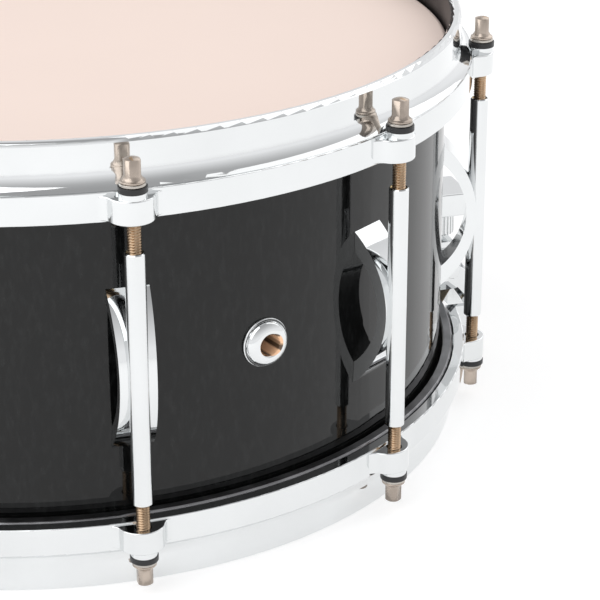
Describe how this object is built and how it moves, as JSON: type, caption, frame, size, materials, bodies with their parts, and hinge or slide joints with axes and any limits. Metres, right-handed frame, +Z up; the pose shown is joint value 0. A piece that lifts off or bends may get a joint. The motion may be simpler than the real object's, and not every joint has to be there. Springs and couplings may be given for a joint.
{
  "type": "snare drum",
  "caption": "Snare drum with a black lacquered wood shell, die-cast chrome hoops, tube lugs on bow brackets, square-headed tension rods, lever strainer, butt plate and snare wires.",
  "frame": {"origin": "centre of the bottom rim, on the drum's axis, in the plane that the drum rests on", "axes": "+Z up along the drum's axis; +X towards the strainer; -Y towards the first lug"},
  "size_m": [0.395, 0.393, 0.1812],
  "materials": {
    "shell_lacquer": "gloss black lacquer over wood ply, bare wood inside",
    "chrome": "polished chrome plate",
    "coated_film": "sprayed matt coating on clear film",
    "clear_film": "thin hazy film",
    "flesh_ring": "satin aluminium channel",
    "rod_steel": "warm nickel-plated steel",
    "washer_steel": "nickel-plated steel",
    "nylon": "black nylon",
    "brass": "turned brass",
    "zinc": "zinc-plated steel",
    "snare_steel": "bright steel wire",
    "strap": "beige plastic strap"
  },
  "bodies": {
    "drum": {"batter_flesh_hoop": "flesh_ring", "batter_head": "coated_film", "batter_hoop": "chrome", "bracket_screws": "zinc", "butt_base": "chrome", "butt_clamp": "chrome", "butt_clamp_screws": "zinc", "butt_strap": "strap", "lug_arch_01": "chrome", "lug_arch_02": "chrome", "lug_arch_03": "chrome", "lug_arch_04": "chrome", "lug_arch_05": "chrome", "lug_arch_06": "chrome", "lug_arch_07": "chrome", "lug_arch_08": "chrome", "lug_arch_09": "chrome", "lug_arch_10": "chrome", "lug_inserts": "brass", "lug_screws": "zinc", "lug_tubes": "chrome", "nylon_washers": "nylon", "shell": "shell_lacquer", "snare_flesh_hoop": "flesh_ring", "snare_head": "clear_film", "snare_hoop": "chrome", "steel_washers": "washer_steel", "strainer_base": "chrome", "strainer_pivot_pins": "chrome", "vent_grommet": "chrome", "vent_nut": "zinc"},
    "snares": {"strainer_carriage": "chrome", "strainer_clamp": "chrome", "strainer_clamp_screws": "zinc", "strainer_strap": "strap", "snare_wires": "snare_steel", "snare_plate_strainer": "brass", "snare_plate_butt": "brass"},
    "lever": {"strainer_lever": "chrome"},
    "knob": {"strainer_knob": "chrome"},
    "batter_tension_01": {"batter_rod_01": "rod_steel"},
    "batter_tension_02": {"batter_rod_02": "rod_steel"},
    "batter_tension_03": {"batter_rod_03": "rod_steel"},
    "batter_tension_04": {"batter_rod_04": "rod_steel"},
    "batter_tension_05": {"batter_rod_05": "rod_steel"},
    "batter_tension_06": {"batter_rod_06": "rod_steel"},
    "batter_tension_07": {"batter_rod_07": "rod_steel"},
    "batter_tension_08": {"batter_rod_08": "rod_steel"},
    "batter_tension_09": {"batter_rod_09": "rod_steel"},
    "batter_tension_10": {"batter_rod_10": "rod_steel"},
    "snare_tension_01": {"snare_rod_01": "rod_steel"},
    "snare_tension_02": {"snare_rod_02": "rod_steel"},
    "snare_tension_03": {"snare_rod_03": "rod_steel"},
    "snare_tension_04": {"snare_rod_04": "rod_steel"},
    "snare_tension_05": {"snare_rod_05": "rod_steel"},
    "snare_tension_06": {"snare_rod_06": "rod_steel"},
    "snare_tension_07": {"snare_rod_07": "rod_steel"},
    "snare_tension_08": {"snare_rod_08": "rod_steel"},
    "snare_tension_09": {"snare_rod_09": "rod_steel"},
    "snare_tension_10": {"snare_rod_10": "rod_steel"}
  },
  "joints": [
    {"name": "batter_rod_turn_01", "type": "hinge", "parent": "drum", "child": "batter_tension_01", "pos_m": [0, -0.191, 0.1721], "axis": [0, 0, 1], "continuous": true},
    {"name": "batter_rod_turn_02", "type": "hinge", "parent": "drum", "child": "batter_tension_02", "pos_m": [0.11227, -0.15452, 0.1721], "axis": [0, 0, 1], "continuous": true},
    {"name": "batter_rod_turn_03", "type": "hinge", "parent": "drum", "child": "batter_tension_03", "pos_m": [0.18165, -0.05902, 0.1721], "axis": [0, 0, 1], "continuous": true},
    {"name": "batter_rod_turn_04", "type": "hinge", "parent": "drum", "child": "batter_tension_04", "pos_m": [0.18165, 0.05902, 0.1721], "axis": [0, 0, 1], "continuous": true},
    {"name": "batter_rod_turn_05", "type": "hinge", "parent": "drum", "child": "batter_tension_05", "pos_m": [0.11227, 0.15452, 0.1721], "axis": [0, 0, 1], "continuous": true},
    {"name": "batter_rod_turn_06", "type": "hinge", "parent": "drum", "child": "batter_tension_06", "pos_m": [0, 0.191, 0.1721], "axis": [0, 0, 1], "continuous": true},
    {"name": "batter_rod_turn_07", "type": "hinge", "parent": "drum", "child": "batter_tension_07", "pos_m": [-0.11227, 0.15452, 0.1721], "axis": [0, 0, 1], "continuous": true},
    {"name": "batter_rod_turn_08", "type": "hinge", "parent": "drum", "child": "batter_tension_08", "pos_m": [-0.18165, 0.05902, 0.1721], "axis": [0, 0, 1], "continuous": true},
    {"name": "batter_rod_turn_09", "type": "hinge", "parent": "drum", "child": "batter_tension_09", "pos_m": [-0.18165, -0.05902, 0.1721], "axis": [0, 0, 1], "continuous": true},
    {"name": "batter_rod_turn_10", "type": "hinge", "parent": "drum", "child": "batter_tension_10", "pos_m": [-0.11227, -0.15452, 0.1721], "axis": [0, 0, 1], "continuous": true},
    {"name": "snare_rod_turn_01", "type": "hinge", "parent": "drum", "child": "snare_tension_01", "pos_m": [0, -0.191, 0.0091], "axis": [0, 0, -1], "continuous": true},
    {"name": "snare_rod_turn_02", "type": "hinge", "parent": "drum", "child": "snare_tension_02", "pos_m": [0.11227, -0.15452, 0.0091], "axis": [0, 0, -1], "continuous": true},
    {"name": "snare_rod_turn_03", "type": "hinge", "parent": "drum", "child": "snare_tension_03", "pos_m": [0.18165, -0.05902, 0.0091], "axis": [0, 0, -1], "continuous": true},
    {"name": "snare_rod_turn_04", "type": "hinge", "parent": "drum", "child": "snare_tension_04", "pos_m": [0.18165, 0.05902, 0.0091], "axis": [0, 0, -1], "continuous": true},
    {"name": "snare_rod_turn_05", "type": "hinge", "parent": "drum", "child": "snare_tension_05", "pos_m": [0.11227, 0.15452, 0.0091], "axis": [0, 0, -1], "continuous": true},
    {"name": "snare_rod_turn_06", "type": "hinge", "parent": "drum", "child": "snare_tension_06", "pos_m": [0, 0.191, 0.0091], "axis": [0, 0, -1], "continuous": true},
    {"name": "snare_rod_turn_07", "type": "hinge", "parent": "drum", "child": "snare_tension_07", "pos_m": [-0.11227, 0.15452, 0.0091], "axis": [0, 0, -1], "continuous": true},
    {"name": "snare_rod_turn_08", "type": "hinge", "parent": "drum", "child": "snare_tension_08", "pos_m": [-0.18165, 0.05902, 0.0091], "axis": [0, 0, -1], "continuous": true},
    {"name": "snare_rod_turn_09", "type": "hinge", "parent": "drum", "child": "snare_tension_09", "pos_m": [-0.18165, -0.05902, 0.0091], "axis": [0, 0, -1], "continuous": true},
    {"name": "snare_rod_turn_10", "type": "hinge", "parent": "drum", "child": "snare_tension_10", "pos_m": [-0.11227, -0.15452, 0.0091], "axis": [0, 0, -1], "continuous": true},
    {"name": "lever_swing", "type": "hinge", "parent": "drum", "child": "lever", "pos_m": [0.187, 0, 0.0426], "axis": [0, -1, 0], "range_deg": [0, 85]},
    {"name": "snare_release", "type": "slide", "parent": "drum", "child": "snares", "axis": [0, 0, -1], "range_m": [0, 0.003], "deforming": ["butt_strap"]},
    {"name": "knob_turn", "type": "hinge", "parent": "drum", "child": "knob", "pos_m": [0.1864, 0, 0.0611], "axis": [0, 0, 1], "continuous": true}
  ],
  "couplings": [
    {"joint": "lever_swing", "follows": "snare_release", "rad_per_m": 494.5}
  ]
}
